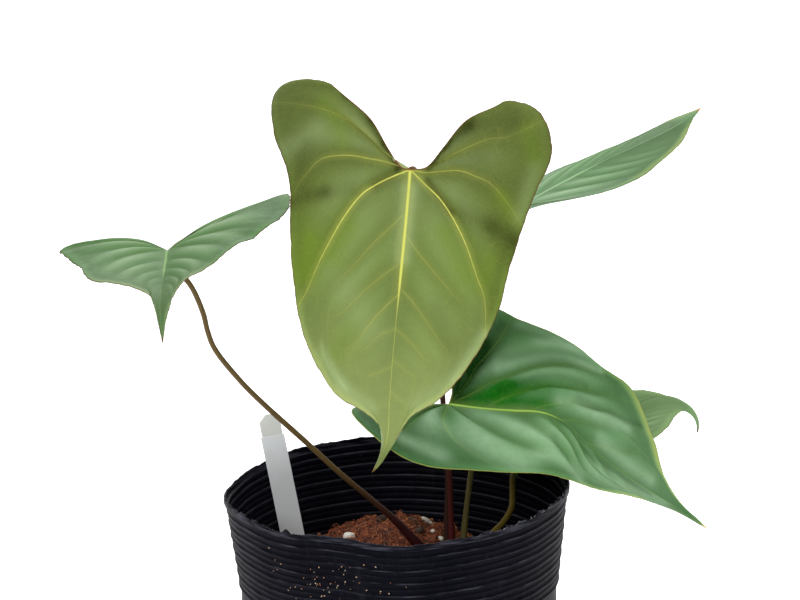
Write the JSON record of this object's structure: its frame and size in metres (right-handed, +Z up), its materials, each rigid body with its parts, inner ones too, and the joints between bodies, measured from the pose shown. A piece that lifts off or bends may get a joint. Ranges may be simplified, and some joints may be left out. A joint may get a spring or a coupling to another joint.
{
  "type": "potted anthurium hybrid",
  "caption": "Long-stalked heart-shaped velvety leaves on a short stem, potted in a soft ringed nursery pot with a bare label.",
  "frame": {"origin": "centre of the pot's underside, on the surface it stands on", "axes": "+Z up, +X to the right and +Y away from someone who looks at the front"},
  "size_m": [0.3365, 0.247, 0.378],
  "materials": {
    "pot": "thin black plastic with a dull sheen and dusty marks",
    "potting_mix": "coarse coir fibre and fine bark, moist brown",
    "perlite": "rough white grains",
    "bark": "dark rough chips",
    "stem": "brown papery rootstock",
    "stalk_maroon": "smooth dark maroon skin",
    "stalk_olive": "smooth olive brown skin",
    "leaf_young": "satin olive green with pale yellow veins",
    "leaf_green": "satin bluish green with a pale sheen",
    "label": "bare off-white tag with a band of tape"
  },
  "bodies": {
    "root": {"pot": "pot", "potting_mix": "potting_mix", "perlite_1": "perlite", "perlite_2": "perlite", "perlite_3": "perlite", "perlite_4": "perlite", "bark_1": "bark", "bark_2": "bark", "bark_3": "bark", "stem": "stem", "stalk_main": "stalk_maroon", "stalk_right": "stalk_maroon", "stalk_left": "stalk_olive", "stalk_back": "stalk_olive", "stalk_low": "stalk_olive", "leaf_main": "leaf_young", "leaf_right": "leaf_green", "leaf_left": "leaf_green", "leaf_back": "leaf_green", "leaf_low": "leaf_green", "plant_label": "label"}
  },
  "joints": []
}
